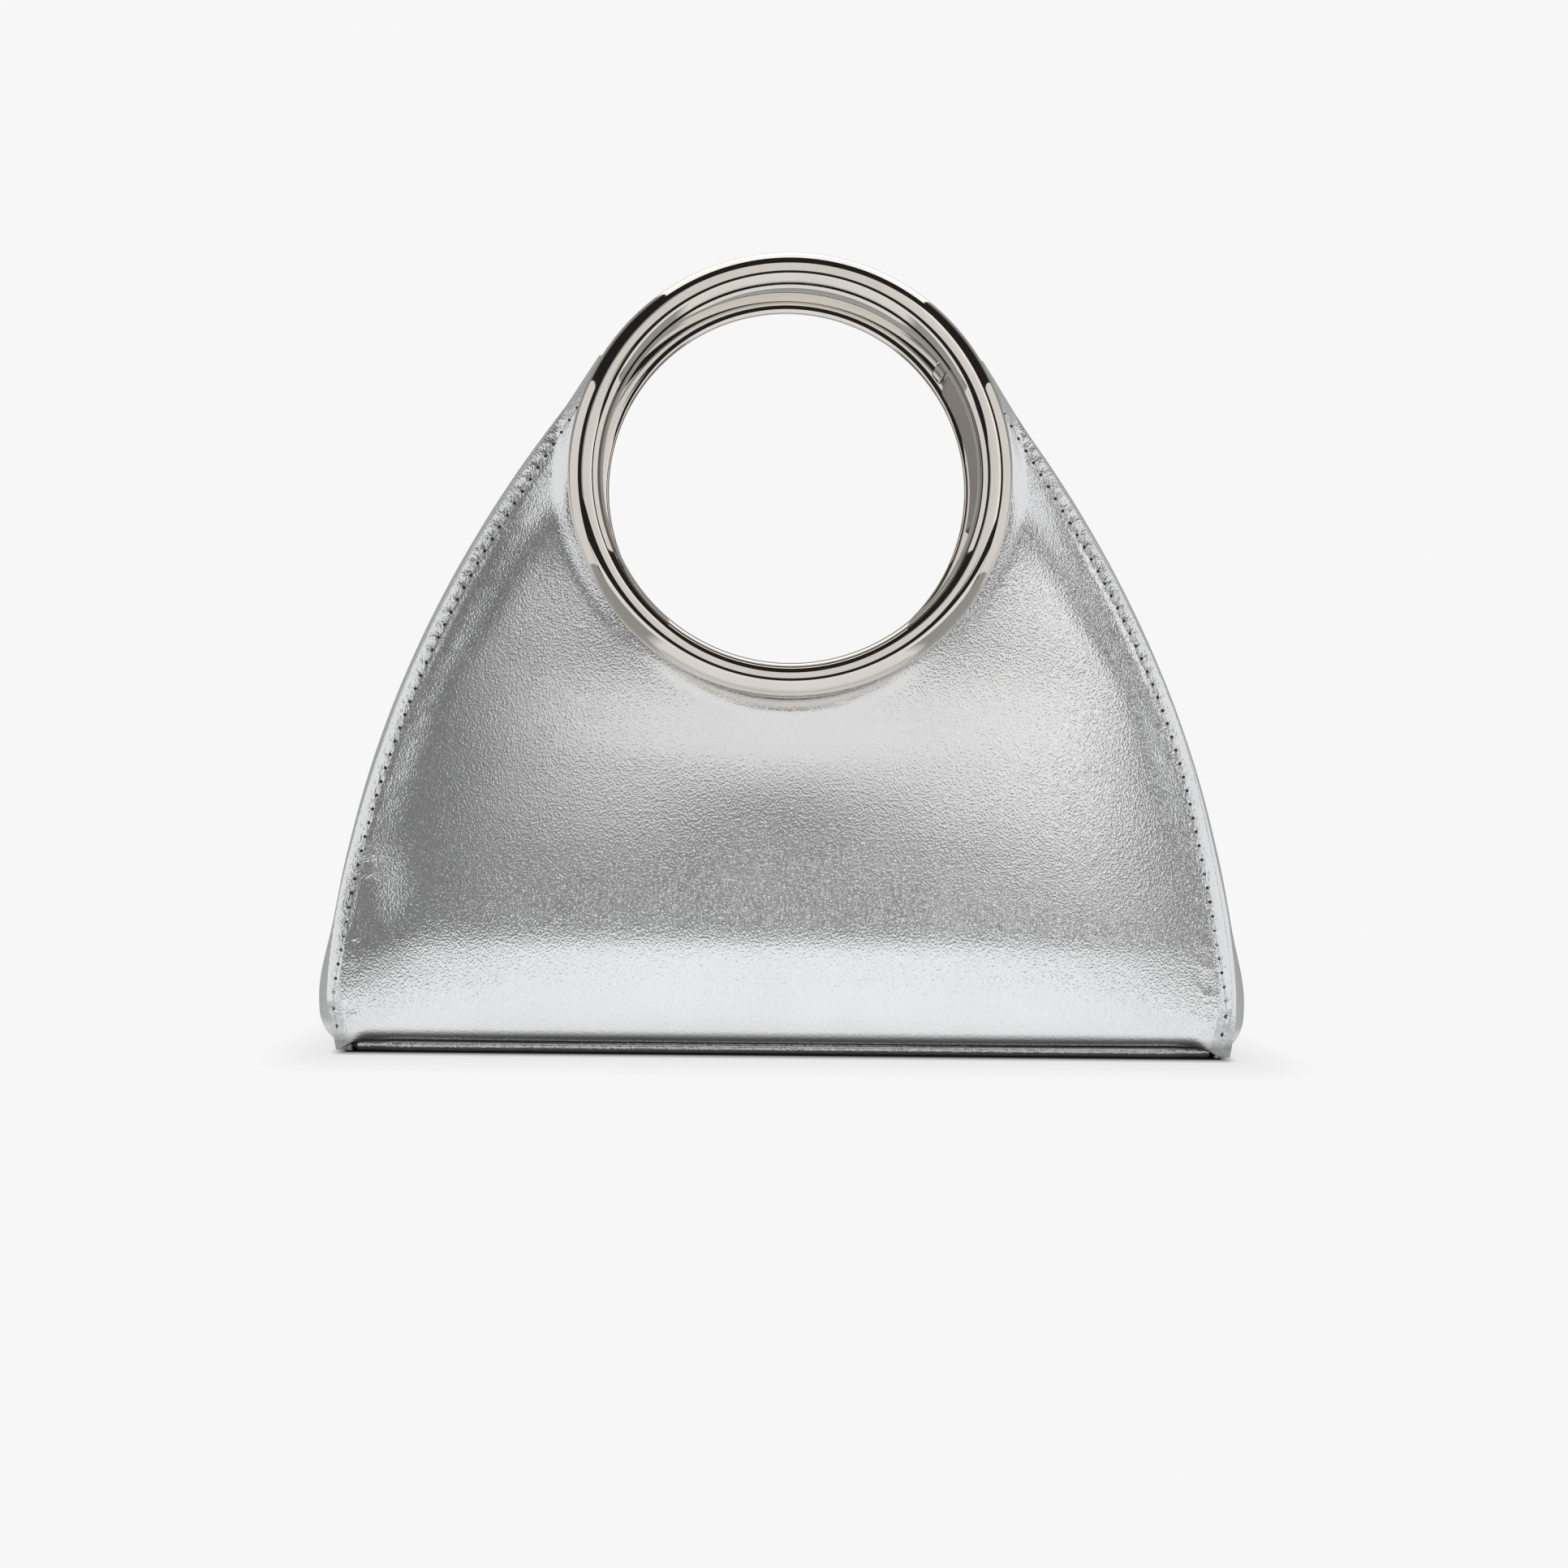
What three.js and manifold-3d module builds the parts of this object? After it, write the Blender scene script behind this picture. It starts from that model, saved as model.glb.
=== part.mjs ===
// Top handle clutch: a soft leather bag that hangs between two round metal rings.
// Millimetres, +Z up, front towards -Y, origin under the middle of the base.
import * as THREE from 'three';
import { mergeVertices } from 'three/addons/utils/BufferGeometryUtils.js';
import Module from 'manifold-3d';

const wasm = await Module();
wasm.setup();

// Driving dimensions
const CLEARANCE = 0.3;

// Each row is a level of the bag: half the width between the stitched edges, the depth of the
// stitched edge and the extra depth of the belly measured from the middle plane, and how far
// the side wall swells past its seam.
const SECTIONS = [
  { z: 0, halfWidth: 120.6, seam: 32, belly: 0.8, swell: 5.5 },
  { z: 3.5, halfWidth: 121.2, seam: 32, belly: 1.4, swell: 9.2 },
  { z: 12, halfWidth: 122.3, seam: 31.3, belly: 2.7, swell: 10.2 },
  { z: 34, halfWidth: 121.1, seam: 27.5, belly: 5.1, swell: 7.7 },
  { z: 52, halfWidth: 118.2, seam: 23.8, belly: 5.8, swell: 7.2 },
  { z: 79, halfWidth: 112, seam: 19, belly: 5.6, swell: 6.3 },
  { z: 105, halfWidth: 102.8, seam: 17, belly: 3.2, swell: 5.9 },
  { z: 132, halfWidth: 89.8, seam: 16, belly: 4.6, swell: 5.9 },
  { z: 158, halfWidth: 74.1, seam: 16, belly: 8, swell: 6 },
  { z: 190, halfWidth: 52.7, seam: 16.5, belly: 8, swell: 4.2 },
];
const BELLY_POWER = 3.5;

// Rings: a round front bead and a shallow dome on the side that faces the other ring
const RING_Z = 157.1;
const RING_RADIUS = 56;
const RING_PLANE = 21;
const BEAD_RADIUS = 4.85;
const BACK_DOME = 1.2;
const BEAD_SIDES = 12;
const RING_SEGMENTS = 60;

// Collar over the top of the hole and down its left side, cast with the front ring
const COLLAR_RADIUS = 54.4;
const COLLAR_WALL = 1.6;
const COLLAR_RIGHT_ANGLE = 40;
const COLLAR_LEFT_ANGLE = 205;
const COLLAR_SUNK = 0.5;

// Lining strips beside the mouth, the left one behind the collar, and the catch above the right one
const FACING_RIGHT_RADIUS = 52.6;
const FACING_LEFT_RADIUS = 56.4;
const FACING_WALL = 1.2;
const FACING_TOP_ANGLE = 33;
const FACING_FOOT_ANGLE = -12;
const FACING_LAP_START = 46.2;
const FACING_LAP_END = 50.6;
const CATCH_RADIUS = 53.4;
const CATCH_WALL = 2.4;
const CATCH_FOOT_ANGLE = 36;
const CATCH_FRONT = 3;
const CATCH_REAR = 19.4;

// Leather
const PANEL_WALL = 1.8;
const GUSSET_WALL = 1.4;
const BASE_WALL = 2.8;
const BASE_BEVEL = 0.7;
const FLANGE = 4;
const FLANGE_SET_BACK = 1.7;
const SEAM_GAP = 0.5;
const PANEL_FOOT = BASE_WALL + CLEARANCE;
const FOOT_ROLL = 4.2;
const FOOT_SLANT = 0.5;
const ROLL_START = 4.5;
const ROLL_FULL = 13;
const HORN_TOP = 190;
const HOLE_RADIUS = 58.4;
const TUCK_DEPTH = RING_PLANE - BACK_DOME - CLEARANCE;
const TUCK_REACH = 7;

// How finely the soft surfaces are divided
const SEAM_STEPS = 18;
const FOOT_STEPS = 16;
const RING_SIDE_ROWS = [0, 1.5, 4, 8];
const EDGE_SIDE_ROWS = [8, 4.7, 3.9, 1.8, 0.7, 0];
const MIDDLE_ROWS = 4;
const MIDDLE_SHARE = 0.2;
const SLOPE_STEP = 0.4;
const MITRE_LIMIT = 1.4;
const WALL_ROW_SPACING = 20;
const WALL_STEPS = 8;
const ARC_STEPS = 28;

// Finishes
const silverLeather = new THREE.MeshStandardMaterial({ color: 0xc4c5c8, roughness: 0.38, metalness: 0.85 });
const polishedMetal = new THREE.MeshStandardMaterial({ color: 0xd9d7d3, roughness: 0.06, metalness: 1 });
const taupeLining = new THREE.MeshStandardMaterial({ color: 0xa79c91, roughness: 0.85, metalness: 0 });

// Smooth curve through the section rows
const COLUMNS = ['halfWidth', 'seam', 'belly', 'swell'];
const levels = new THREE.CubicInterpolant(
  SECTIONS.map((row) => row.z),
  SECTIONS.flatMap((row) => COLUMNS.map((column) => row[column])),
  COLUMNS.length,
);

function sectionAt(z) {
  const bottom = SECTIONS[0].z;
  const top = SECTIONS[SECTIONS.length - 1].z;
  const values = levels.evaluate(THREE.MathUtils.clamp(z, bottom, top));
  return Object.fromEntries(COLUMNS.map((column, i) => [column, values[i]]));
}

// Depth of a panel's outer face from the middle plane
function panelDepth(x, z) {
  const { halfWidth, seam, belly } = sectionAt(z);
  const root = halfWidth - FLANGE;
  const crown = 1 - Math.min(1, Math.abs(x) / root) ** BELLY_POWER;
  const setBack = FLANGE_SET_BACK * THREE.MathUtils.clamp((Math.abs(x) - root) / FLANGE, 0, 1);
  const rise = THREE.MathUtils.clamp(z - PANEL_FOOT + FOOT_SLANT, 0, FOOT_ROLL);
  const rolledIn = FOOT_ROLL - Math.sqrt(FOOT_ROLL ** 2 - (FOOT_ROLL - rise) ** 2);
  const rollShare = THREE.MathUtils.smoothstep(root - Math.abs(x), ROLL_START, ROLL_FULL);
  const open = seam + belly * crown - rolledIn * rollShare - setBack;
  const fromHole = Math.hypot(x, z - RING_Z) - HOLE_RADIUS;
  return THREE.MathUtils.lerp(TUCK_DEPTH, open, THREE.MathUtils.smoothstep(fromHole, 0, TUCK_REACH));
}

// Points on the outer and inner faces of the panel on one side (-1 front, 1 back)
function panelPoints(x, z, side) {
  const step = SLOPE_STEP;
  const slopeX = (panelDepth(x + step, z) - panelDepth(x - step, z)) / (2 * step);
  const slopeZ = (panelDepth(x, z + step) - panelDepth(x, z - step)) / (2 * step);
  const inward = new THREE.Vector3(slopeX, -side, slopeZ).setLength(PANEL_WALL);
  const outer = new THREE.Vector3(x, side * panelDepth(x, z), z);
  return { outer, inner: outer.clone().add(inward) };
}

// Edge of a panel from the right horn, down the seam, along the foot and up to the left horn
function panelEdge() {
  const seamPoint = (step, sign) => {
    const z = THREE.MathUtils.lerp(HORN_TOP, PANEL_FOOT, step / SEAM_STEPS);
    return new THREE.Vector2(sign * sectionAt(z).halfWidth, z);
  };
  const right = Array.from({ length: SEAM_STEPS + 1 }, (_, i) => seamPoint(i, 1));
  const left = Array.from({ length: SEAM_STEPS + 1 }, (_, i) => seamPoint(SEAM_STEPS - i, -1));
  const foot = [];
  for (let i = 1; i < FOOT_STEPS; i += 1) {
    const share = (1 - Math.cos((Math.PI * i) / FOOT_STEPS)) / 2;
    foot.push(right[SEAM_STEPS].clone().lerp(left[0], share));
  }
  return [...right, ...foot, ...left];
}

// Distances along a line from the hole to the edge, closer together at both ends
function rowDistances(length) {
  const room = RING_SIDE_ROWS[RING_SIDE_ROWS.length - 1] + EDGE_SIDE_ROWS[0];
  const scale = Math.min(1, (length * (1 - MIDDLE_SHARE)) / room);
  const start = RING_SIDE_ROWS.map((distance) => distance * scale);
  const end = EDGE_SIDE_ROWS.map((distance) => length - distance * scale);
  const middle = [];
  for (let i = 1; i <= MIDDLE_ROWS; i += 1) {
    middle.push(THREE.MathUtils.lerp(start[start.length - 1], end[0], i / (MIDDLE_ROWS + 1)));
  }
  return [...start, ...middle, ...end];
}

// Closed solid between two grids of points
function solidBetween(outer, inner) {
  const rows = outer.length;
  const columns = outer[0].length;
  const points = [...outer.flat(), ...inner.flat()];
  const out = (i, j) => i * columns + j;
  const back = (i, j) => (rows + i) * columns + j;
  const index = [];
  const quad = (a, b, c, d) => index.push(a, b, c, a, c, d);
  for (let i = 0; i < rows - 1; i += 1) {
    for (let j = 0; j < columns - 1; j += 1) {
      quad(out(i, j), out(i, j + 1), out(i + 1, j + 1), out(i + 1, j));
      quad(back(i, j), back(i + 1, j), back(i + 1, j + 1), back(i, j + 1));
    }
    quad(out(i, 0), out(i + 1, 0), back(i + 1, 0), back(i, 0));
    quad(out(i + 1, columns - 1), out(i, columns - 1), back(i, columns - 1), back(i + 1, columns - 1));
  }
  for (let j = 0; j < columns - 1; j += 1) {
    quad(out(0, j + 1), out(0, j), back(0, j), back(0, j + 1));
    quad(out(rows - 1, j), out(rows - 1, j + 1), back(rows - 1, j + 1), back(rows - 1, j));
  }
  const geometry = new THREE.BufferGeometry().setFromPoints(points);
  geometry.setIndex(signedVolume(points, index) < 0 ? index.reverse() : index);
  return geometry;
}

function signedVolume(points, index) {
  let volume = 0;
  for (let i = 0; i < index.length; i += 3) {
    const [a, b, c] = [points[index[i]], points[index[i + 1]], points[index[i + 2]]];
    volume += a.dot(b.clone().cross(c));
  }
  return volume;
}

function panelGeometry(side) {
  const outer = [];
  const inner = [];
  const centre = new THREE.Vector2(0, RING_Z);
  for (const edge of panelEdge()) {
    const ray = edge.clone().sub(centre);
    const direction = ray.clone().normalize();
    const rows = rowDistances(ray.length() - HOLE_RADIUS).map((distance) => {
      const point = direction.clone().multiplyScalar(HOLE_RADIUS + distance).add(centre);
      return panelPoints(point.x, point.y, side);
    });
    outer.push(rows.map((row) => row.outer));
    inner.push(rows.map((row) => row.inner));
  }
  return solidBetween(outer, inner);
}

// Middle line of a side wall at one level: flange, swollen wall, flange
function wallLine(z, sign) {
  const { halfWidth, seam, swell } = sectionAt(z);
  const flangeDepth = seam - PANEL_WALL - SEAM_GAP - GUSSET_WALL / 2;
  const root = halfWidth - FLANGE;
  const tipDepth = flangeDepth - FLANGE_SET_BACK;
  const line = [new THREE.Vector2(halfWidth, -tipDepth)];
  for (let i = 0; i <= WALL_STEPS; i += 1) {
    const along = (2 * i) / WALL_STEPS - 1;
    line.push(new THREE.Vector2(root + swell * (1 - along ** 2), along * flangeDepth));
  }
  line.push(new THREE.Vector2(halfWidth, tipDepth));
  return line.map((point) => new THREE.Vector2(sign * point.x, point.y));
}

// Line moved sideways by a distance, with mitred corners
function offsetLine(line, distance) {
  return line.map((point, i) => {
    const before = line[Math.max(0, i - 1)];
    const after = line[Math.min(line.length - 1, i + 1)];
    const first = (i > 0 ? point.clone().sub(before) : after.clone().sub(point)).normalize();
    const second = (i < line.length - 1 ? after.clone().sub(point) : first.clone()).normalize();
    const normal = new THREE.Vector2(first.y + second.y, -first.x - second.x).normalize();
    const spread = Math.max(1 / MITRE_LIMIT, normal.x * first.y - normal.y * first.x);
    return point.clone().addScaledVector(normal, distance / spread);
  });
}

function gussetGeometry(sign) {
  const levelsUp = SECTIONS.flatMap((row, i) => {
    const next = SECTIONS[i + 1];
    return next && next.z - row.z > WALL_ROW_SPACING ? [row.z, (row.z + next.z) / 2] : [row.z];
  });
  const lift = (z) => (point) => new THREE.Vector3(point.x, point.y, z);
  const outer = levelsUp.map((z) => offsetLine(wallLine(z, sign), GUSSET_WALL / 2).map(lift(z)));
  const inner = levelsUp.map((z) => offsetLine(wallLine(z, sign), -GUSSET_WALL / 2).map(lift(z)));
  return solidBetween(outer, inner);
}

// Flat board inside the foot of the panels and the side walls, with softened edges
function baseGeometry() {
  const bevel = BASE_BEVEL;
  const inset = GUSSET_WALL / 2 + CLEARANCE + bevel;
  const reach = SECTIONS[0].halfWidth - FLANGE - inset - GUSSET_WALL / 2;
  const depth = panelDepth(0, PANEL_FOOT) - bevel;
  const front = [new THREE.Vector2(-reach, -depth), new THREE.Vector2(reach, -depth)];
  const rear = [new THREE.Vector2(reach, depth), new THREE.Vector2(-reach, depth)];
  const endCurve = (sign) => {
    const wall = wallLine(0, sign);
    const curve = offsetLine(wall, -sign * inset).slice(2, -2);
    const corner = (y) => new THREE.Vector2(sign * reach, y);
    return [corner(wall[1].y), ...curve, corner(-wall[1].y)];
  };
  const outline = [...front, ...endCurve(1), ...rear, ...endCurve(-1).reverse()];
  const geometry = new THREE.ExtrudeGeometry(new THREE.Shape(outline), {
    depth: BASE_WALL - 2 * bevel,
    bevelSize: bevel,
    bevelThickness: bevel,
    bevelSegments: 2,
  });
  return geometry.translate(0, 0, bevel);
}

// Point at a distance from the ring's axis, at an angle in degrees above the right side
function aroundRing(radius, degrees) {
  const angle = THREE.MathUtils.degToRad(degrees);
  return new THREE.Vector2(radius * Math.cos(angle), RING_Z + radius * Math.sin(angle));
}

function arcAroundRing(radius, from, to, steps) {
  const along = (i) => THREE.MathUtils.lerp(from, to, i / steps);
  return Array.from({ length: steps + 1 }, (_, i) => aroundRing(radius, along(i)));
}

// Strip that follows a line seen from the front and runs from one depth to another
function stripGeometry(line, wall, front, rear) {
  const gridAt = (distance) => offsetLine(line, distance).map(
    (point) => [front, rear].map((y) => new THREE.Vector3(point.x, y, point.y)),
  );
  return solidBetween(gridAt(wall / 2), gridAt(-wall / 2));
}

// Ring turned from its profile: side -1 is the front ring, 1 the rear one
function ringGeometry(side) {
  const profile = [];
  for (let i = 0; i <= BEAD_SIDES; i += 1) {
    const angle = (2 * Math.PI * i) / BEAD_SIDES;
    const reach = Math.sin(angle) > 0 ? BEAD_RADIUS : BACK_DOME;
    profile.push(new THREE.Vector2(
      RING_RADIUS + BEAD_RADIUS * Math.cos(angle),
      side * (RING_PLANE + reach * Math.sin(angle)),
    ));
  }
  profile[BEAD_SIDES].copy(profile[0]);
  const ordered = side > 0 ? profile : profile.reverse();
  return new THREE.LatheGeometry(ordered, RING_SEGMENTS).translate(0, 0, RING_Z);
}

// Closed solid with merged corners, ready to be joined to another
function toManifold(geometry) {
  const bare = geometry.clone();
  bare.deleteAttribute('normal');
  bare.deleteAttribute('uv');
  const merged = mergeVertices(bare, 1e-3);
  return new wasm.Manifold(new wasm.Mesh({
    numProp: 3,
    vertProperties: new Float32Array(merged.attributes.position.array),
    triVerts: new Uint32Array(merged.index.array),
  }));
}

function fromManifold(solid) {
  const { vertProperties, triVerts } = solid.getMesh();
  const geometry = new THREE.BufferGeometry();
  geometry.setAttribute('position', new THREE.BufferAttribute(vertProperties, 3));
  geometry.setIndex(new THREE.BufferAttribute(triVerts, 1));
  return geometry;
}

function frontRingGeometry() {
  const line = arcAroundRing(COLLAR_RADIUS + COLLAR_WALL / 2, COLLAR_RIGHT_ANGLE, COLLAR_LEFT_ANGLE, ARC_STEPS);
  const collar = stripGeometry(line, COLLAR_WALL, -RING_PLANE - COLLAR_SUNK, TUCK_DEPTH);
  return fromManifold(toManifold(ringGeometry(-1)).add(toManifold(collar)));
}

// Lining strip from beside the mouth up to the horn, where it turns out over the side wall
function facingGeometry(sign, innerRadius) {
  const radius = innerRadius + FACING_WALL / 2;
  const line = arcAroundRing(radius, FACING_FOOT_ANGLE, FACING_TOP_ANGLE, ARC_STEPS / 2);
  const lapHeight = HORN_TOP + CLEARANCE + FACING_WALL / 2;
  line.push(new THREE.Vector2(FACING_LAP_START, lapHeight));
  line.push(new THREE.Vector2(FACING_LAP_END, lapHeight));
  const placed = line.map((point) => new THREE.Vector2(sign * point.x, point.y));
  return stripGeometry(placed, FACING_WALL, -TUCK_DEPTH, TUCK_DEPTH);
}

function catchGeometry() {
  const endGap = THREE.MathUtils.radToDeg(CLEARANCE / CATCH_RADIUS);
  const line = arcAroundRing(CATCH_RADIUS + CATCH_WALL / 2, CATCH_FOOT_ANGLE, COLLAR_RIGHT_ANGLE - endGap, 2);
  return stripGeometry(line, CATCH_WALL, CATCH_FRONT, CATCH_REAR);
}

// Assembly
const clutch = new THREE.Group();

function addPiece(name, geometry, material) {
  const piece = new THREE.Mesh(geometry, material);
  piece.name = name;
  clutch.add(piece);
}

addPiece('front_panel', panelGeometry(-1), silverLeather);
addPiece('back_panel', panelGeometry(1), silverLeather);
addPiece('gusset_left', gussetGeometry(-1), silverLeather);
addPiece('gusset_right', gussetGeometry(1), silverLeather);
addPiece('base', baseGeometry(), silverLeather);
addPiece('front_ring', frontRingGeometry(), polishedMetal);
addPiece('rear_ring', ringGeometry(1), polishedMetal);
addPiece('facing_left', facingGeometry(-1, FACING_LEFT_RADIUS), taupeLining);
addPiece('facing_right', facingGeometry(1, FACING_RIGHT_RADIUS), taupeLining);
addPiece('ring_catch', catchGeometry(), polishedMetal);

export default clutch;
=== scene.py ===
"""Looks of a top handle clutch: a soft silver leather bag that hangs between two polished rings.

Sizes are in millimetres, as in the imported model, and become metres where a mesh is made. Those of
the studio and the camera are in metres.
The front of the bag faces -Y, and side -1 means the front and 1 the back.
"""

import math

import bmesh
import bpy
import numpy as np
from mathutils import Matrix, Vector


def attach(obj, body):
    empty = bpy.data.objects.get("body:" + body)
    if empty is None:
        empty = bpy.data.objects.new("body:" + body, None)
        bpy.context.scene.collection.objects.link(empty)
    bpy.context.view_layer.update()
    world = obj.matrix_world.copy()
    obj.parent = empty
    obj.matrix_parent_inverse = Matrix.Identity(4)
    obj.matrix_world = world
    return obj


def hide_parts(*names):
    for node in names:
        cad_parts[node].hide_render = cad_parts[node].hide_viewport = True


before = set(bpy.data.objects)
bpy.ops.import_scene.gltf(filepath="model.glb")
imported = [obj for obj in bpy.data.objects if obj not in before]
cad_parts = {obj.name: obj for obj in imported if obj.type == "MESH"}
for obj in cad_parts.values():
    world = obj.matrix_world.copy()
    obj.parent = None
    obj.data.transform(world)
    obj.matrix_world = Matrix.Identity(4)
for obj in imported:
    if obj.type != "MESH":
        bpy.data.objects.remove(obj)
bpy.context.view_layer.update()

MM = 0.001
FRONT, BACK = -1, 1
CLEARANCE = 0.3

# Levels of the bag, as in the model: half the width between the stitched edges, depth of the
# stitched edge, extra depth of the belly, and swell of the side wall past its seam
SECTION_COLUMNS = ("z", "half_width", "seam", "belly", "swell")
SECTION_ROWS = (
    (0, 120.6, 32, 0.8, 5.5),
    (3.5, 121.2, 32, 1.4, 9.2),
    (12, 122.3, 31.3, 2.7, 10.2),
    (34, 121.1, 27.5, 5.1, 7.7),
    (52, 118.2, 23.8, 5.8, 7.2),
    (79, 112, 19, 5.6, 6.3),
    (105, 102.8, 17, 3.2, 5.9),
    (132, 89.8, 16, 4.6, 5.9),
    (158, 74.1, 16, 8, 6),
    (190, 52.7, 16.5, 8, 4.2),
)
SECTIONS = {name: np.array(values, float) for name, values in zip(SECTION_COLUMNS, zip(*SECTION_ROWS))}
BELLY_POWER = 3.5

# Rings and collar, as in the model
RING_Z = 157.1
RING_RADIUS = 56
RING_PLANE = 21
BEAD_RADIUS = 4.85
BACK_DOME = 1.2
COLLAR_RADIUS = 54.4
COLLAR_WALL = 1.6
COLLAR_RIGHT_ANGLE = 40
COLLAR_LEFT_ANGLE = 205
COLLAR_ROUND = 0.35

# Lining strips beside the mouth and the catch, as in the model
FACING_RIGHT_RADIUS = 52.6
FACING_LEFT_RADIUS = 56.4
FACING_WALL = 1.2
FACING_TOP_ANGLE = 33
FACING_FOOT_ANGLE = -12
FACING_LAP_START = 46.2
FACING_LAP_END = 50.6
CATCH_RADIUS = 53.4
CATCH_WALL = 2.4
CATCH_FOOT_ANGLE = 36
CATCH_FRONT = 3
CATCH_REAR = 19.4
CATCH_ROUND = 0.4

# Leather, as in the model
PANEL_WALL = 1.8
GUSSET_WALL = 1.4
BASE_WALL = 2.8
BASE_ROUND = 1.2
FLANGE = 4
FLANGE_SET_BACK = 1.7
SEAM_GAP = 0.5
PANEL_FOOT = BASE_WALL + CLEARANCE
FOOT_ROLL = 4.2
FOOT_SLANT = 0.5
HORN_TOP = 190
HOLE_RADIUS = 58.4
TUCK_DEPTH = RING_PLANE - BACK_DOME - CLEARANCE
TUCK_REACH = 7

# Stitches: needle holes, which come nearer to the edge at the foot, and the thread between them
STITCH_INSET_LOW, STITCH_INSET_HIGH = 1.7, 3.4
STITCH_LOW_LEVEL, STITCH_HIGH_LEVEL = 9, 34
STITCH_PITCH = 3.9
STITCHES_OFF_FOOT, STITCHES_OFF_TOP = 2, 1
HOLE_SIZE = 0.43
HOLE_LIFT = 0.03
THREAD_RADIUS = 0.14

# Form of a stitch, as shares of the pitch, of a hole's size and lift, and of the thread's radius
STITCH_START, STITCH_SPAN = 0.06, 0.88
HOLE_PROFILE = ((0, 0), (0.55, 0), (0.85, 0.3), (1, 1), (1.08, 0))
THREAD_ARCH, THREAD_SINK = 1.2, 0.6
THREAD_TAPER, TAPER_POWER = 0.85, 6

# Fall of the panels to their stitched edge: it sets in above the foot, and from the wide level to
# the full one it grows deeper and wider
FALL_DEPTH, FALL_DEPTH_HIGH = 1, 1.9
FALL_REACH, FALL_REACH_HIGH = 5, 7.5
FALL_LOW_LEVEL, FALL_HIGH_LEVEL = 26, 110
FALL_WIDE_LEVEL, FALL_FULL_LEVEL = 95, 122

# Relief of the stitched edge: rounded rim, puffs between the holes, crease behind them, and small
# puckers and crinkles. The place and width of the puffs are shares of the holes' inset.
EDGE_ROUND = 0.5
EDGE_ROUND_REACH = 0.9
PUFF_HEIGHT = 0.16
PUFF_PLACE, PUFF_WIDTH = 0.6, 0.45
PUFF_LEVEL, PUFF_WANDER = 0.6, 0.5
PINCH_WIDTH = 0.7
CREASE_BEHIND = 1.7
CREASE_WIDTH = 0.6
CREASE_DEPTH = 0.06
PUCKER_HEIGHT = 0.1
PUCKER_INSET, PUCKER_WIDTH = 7, 2.2
PUCKER_TURNS, PUCKER_WANDER = 0.5, 2.1
CRINKLE_INSET, CRINKLE_WIDTH = 2.4, 2

# Slow waves along a seam that keep its stitches from looking alike: turns a stitch, and offsets
WANDER_TURNS = 0.31, 0.117
WANDER_OFFSETS = 1.3, 2

# Where the leather is stretched and its grain is smoother: middle and half lengths across and up
STRETCH_Z = 82
STRETCH_ACROSS, STRETCH_UP = 46, 17

# How the leather settles: the foot of the front panel sits a little to the left, the lower corners
# of both panels droop to the floor, the base draws back behind them, and the roll of the foot runs
# out just before the corners
FRONT_SHIFT = -1.1
SHIFT_LOW_LEVEL, SHIFT_HIGH_LEVEL = 40, 95
CORNER_LIFT = 0.4
CORNER_DROOP = PANEL_FOOT - CORNER_LIFT
CORNER_PINCH = 1.5
CORNER_START, CORNER_END = 110, 121
CORNER_HEIGHT = 14
BASE_RECESS = 1.6
BASE_RECESS_START = 104
ROLL_START, ROLL_FULL = 1, 6.5

# Soft folds of the front panel: middle, half lengths across and up, and height
FOLD_COLUMNS = ("x", "z", "across", "up", "height")
FRONT_FOLDS = (
    (1, 76, 34, 17, 0.6),
    (0, 30, 140, 6, 0.35),
    (-111, 42, 9, 12, -1.5),
    (-60, 136, 26, 20, -1.8),
    (70, 138, 26, 22, -1.6),
)

# How finely the pieces are divided
ARC_POINTS = 800
SEAM_STEPS = 230
FOOT_STEPS = 150
EDGE_ROWS = (0, 0.1, 0.3, 0.6, 1, 1.4, 1.8, 2.2, 2.6, 3, 3.4, 3.8, 4.2, 4.6, 5, 5.4, 5.8, 6.4, 7.2, 8)
RING_ROWS = (8, 6.8, 5.6, 4.5, 3.5, 2.5, 1.5, 0.7, 0)
MIDDLE_ROWS = 32
MIDDLE_SHARE = 0.2
MITRE_REACH = 16
RING_STEPS = 240
BEAD_STEPS = 44
COLLAR_ANGLES, COLLAR_DEPTHS, COLLAR_ROUND_POINTS = 150, 12, 5
WALL_FOOT_TOP = 16
WALL_FOOT_LEVELS, WALL_LEVELS = 24, 150
WALL_STEPS = 48
FLANGE_STEPS = 6
BASE_POINTS, BASE_ROUND_POINTS = 161, 6
FACING_ANGLES, FACING_LAP_POINTS, FACING_DEPTHS = 60, 18, 25
CATCH_ANGLES, CATCH_DEPTHS, CATCH_ROUND_STEPS = 8, 12, 3
THREAD_POINTS, THREAD_SIDES = 9, 8
HOLE_SIDES = 14

# Angles from which an edge is shaded sharp, and from which the catch's edges are rounded off
SHARP_ANGLE = 40
CATCH_SHARP_ANGLE = 60


def smooth_step(value):
    value = np.clip(value, 0, 1)
    return value * value * (3 - 2 * value)


def between(value, low, high):
    """Share that grows from 0 at a low value to 1 at a high one."""
    return smooth_step((value - low) / (high - low))


def bump(value, centre, width):
    """Soft bump of height 1 around a centre."""
    return np.exp(-(((value - centre) / width) ** 2))


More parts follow.
